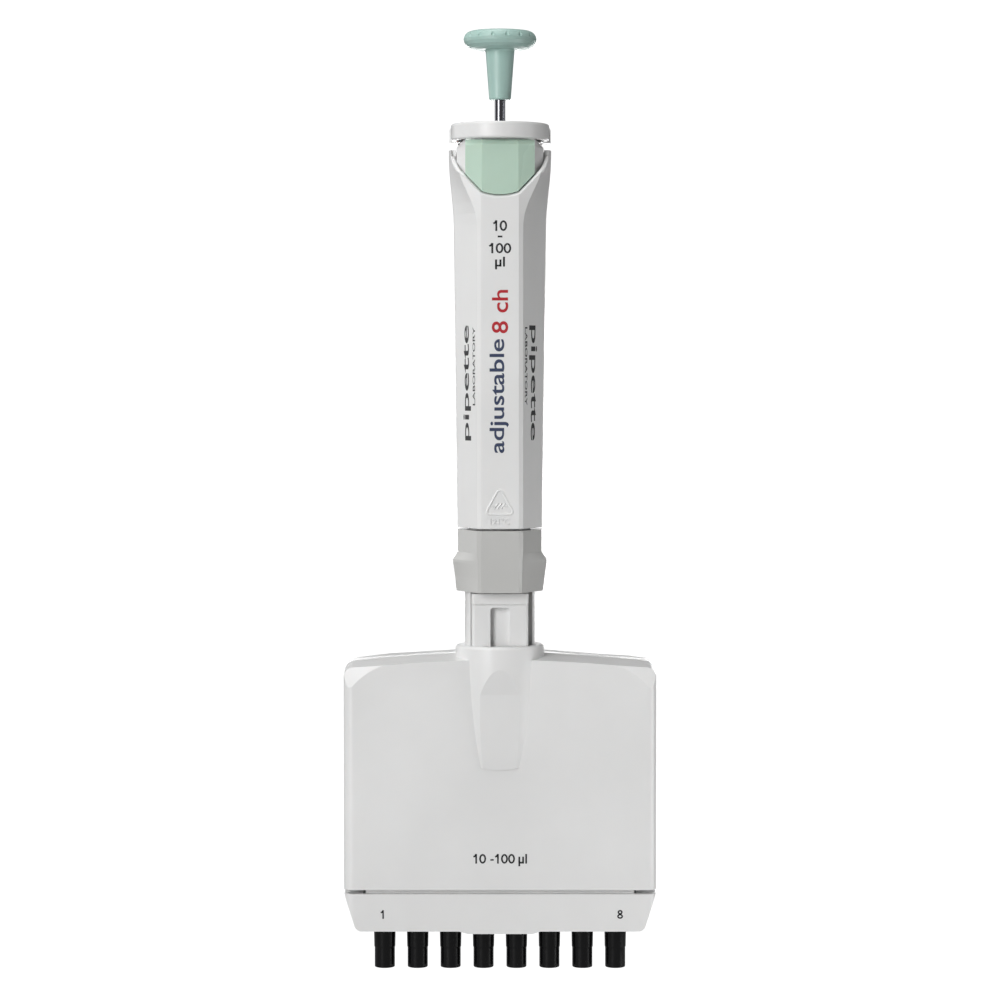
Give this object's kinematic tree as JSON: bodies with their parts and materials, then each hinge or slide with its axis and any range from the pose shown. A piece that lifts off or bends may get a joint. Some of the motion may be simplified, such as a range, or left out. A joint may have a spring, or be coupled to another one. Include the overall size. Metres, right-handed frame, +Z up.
{
  "type": "multichannel pipette",
  "caption": "Hand-held multichannel pipette with a faceted grip, mint push button, flat swivelling manifold and black tip cones.",
  "frame": {"origin": "on the shaft's axis, in the plane of the tip cones' ends, at the middle of the row", "axes": "+Z up the shaft to the push button, +X along the row of cones, -Y out of the front of the instrument"},
  "size_m": [0.0846, 0.0503, 0.2548],
  "materials": {
    "white_shell": "fine satin moulded",
    "grey_white": "fine satin moulded",
    "mint_insert": "semi-gloss",
    "mint_button": "satin",
    "clear_window": "polished clear plastic",
    "steel": "drawn",
    "chrome_rod": "polished",
    "brass_thread": "turned",
    "drum_white": "printed",
    "inner_plastic": "moulded",
    "alu_frame": "milled",
    "seal_rubber": "matt",
    "black_cone": "polished black",
    "piston_steel": "ground"
  },
  "bodies": {
    "handle": {"front_shell": "white_shell", "rear_shell": "white_shell", "shell_screws": "steel", "finger_hook": "white_shell", "upper_core": "white_shell", "colour_insert": "mint_insert", "top_cap": "white_shell", "volume_window": "clear_window", "mechanism_frame": "inner_plastic", "thrust_ring": "inner_plastic", "pinion_axle": "steel", "spring_seat": "inner_plastic", "swivel_bush": "inner_plastic", "return_spring": "steel"},
    "plunger": {"plunger_foot": "inner_plastic"},
    "knob": {"push_button": "mint_button", "operating_rod": "chrome_rod", "drive_pin": "steel", "stop_ring": "inner_plastic"},
    "sleeve": {"volume_sleeve": "brass_thread", "units_drum": "drum_white"},
    "tens": {"tens_drum": "drum_white"},
    "hundreds": {"hundreds_drum": "drum_white"},
    "pinions": {"carry_pinions": "inner_plastic"},
    "stop": {"stop_nut": "brass_thread", "blowout_spring": "steel"},
    "ejector": {"ejector_button": "white_shell", "ejector_rod": "steel", "ejector_collar": "grey_white", "ejector_spring": "steel"},
    "manifold": {"shaft_tube": "white_shell", "retaining_ring": "steel", "manifold_front_cover": "white_shell", "manifold_rear_cover": "white_shell", "cover_screws": "steel", "manifold_frame": "alu_frame", "cylinder_block": "inner_plastic", "seal_plate": "inner_plastic", "piston_seals": "seal_rubber", "guide_rods": "steel", "tip_cone_1": "black_cone", "tip_cone_2": "black_cone", "tip_cone_3": "black_cone", "tip_cone_4": "black_cone", "tip_cone_5": "black_cone", "tip_cone_6": "black_cone", "tip_cone_7": "black_cone", "tip_cone_8": "black_cone"},
    "pistons": {"crossbar": "inner_plastic", "crossbar_column": "inner_plastic", "piston_1": "piston_steel", "piston_2": "piston_steel", "piston_3": "piston_steel", "piston_4": "piston_steel", "piston_5": "piston_steel", "piston_6": "piston_steel", "piston_7": "piston_steel", "piston_8": "piston_steel"},
    "ejector_lower": {"ejector_slide": "white_shell", "ejector_bar": "white_shell"}
  },
  "joints": [
    {"name": "plunger_press", "type": "slide", "parent": "handle", "child": "plunger", "axis": [0, 0, -1], "range_m": [0, 0.012], "stiffness_N_per_m": 350, "springref_m": -0.006, "deforming": ["return_spring", "blowout_spring"]},
    {"name": "knob_turn", "type": "hinge", "parent": "plunger", "child": "knob", "pos_m": [0, 0, 0.25], "axis": [0, 0, 1], "range_deg": [-3240, 0]},
    {"name": "sleeve_turn", "type": "hinge", "parent": "handle", "child": "sleeve", "pos_m": [0, 0, 0.2], "axis": [0, 0, 1], "range_deg": [-3240, 0]},
    {"name": "tens_turn", "type": "hinge", "parent": "handle", "child": "tens", "pos_m": [0, 0, 0.174], "axis": [0, 0, 1], "range_deg": [-324, 0]},
    {"name": "hundreds_turn", "type": "hinge", "parent": "handle", "child": "hundreds", "pos_m": [0, 0, 0.167], "axis": [0, 0, 1], "range_deg": [-32.4, 0]},
    {"name": "pinion_turn", "type": "hinge", "parent": "handle", "child": "pinions", "pos_m": [0.00835, -0.0022, 0.174], "axis": [0, 0, 1], "range_deg": [0, 1620]},
    {"name": "stop_slide", "type": "slide", "parent": "handle", "child": "stop", "axis": [0, 0, -1], "range_m": [-0.00936, 0]},
    {"name": "ejector_press", "type": "slide", "parent": "handle", "child": "ejector", "axis": [0, 0, -1], "range_m": [0, 0.0065], "stiffness_N_per_m": 900, "springref_m": -0.004, "deforming": ["ejector_spring"]},
    {"name": "manifold_swivel", "type": "hinge", "parent": "handle", "child": "manifold", "pos_m": [0, 0, 0.125], "axis": [0, 0, 1], "continuous": true},
    {"name": "piston_slide", "type": "slide", "parent": "manifold", "child": "pistons", "axis": [0, 0, -1], "range_m": [0, 0.012]},
    {"name": "ejector_lower_slide", "type": "slide", "parent": "manifold", "child": "ejector_lower", "axis": [0, 0, -1], "range_m": [0, 0.0065]}
  ],
  "couplings": [
    {"joint": "knob_turn", "follows": "stop_slide", "rad_per_m": 6041.5},
    {"joint": "sleeve_turn", "follows": "stop_slide", "rad_per_m": 6041.5},
    {"joint": "tens_turn", "follows": "stop_slide", "rad_per_m": 604.15},
    {"joint": "hundreds_turn", "follows": "stop_slide", "rad_per_m": 60.415},
    {"joint": "pinion_turn", "follows": "stop_slide", "rad_per_m": -3020.8},
    {"joint": "piston_slide", "follows": "plunger_press", "ratio": 1},
    {"joint": "ejector_lower_slide", "follows": "ejector_press", "ratio": 1}
  ]
}
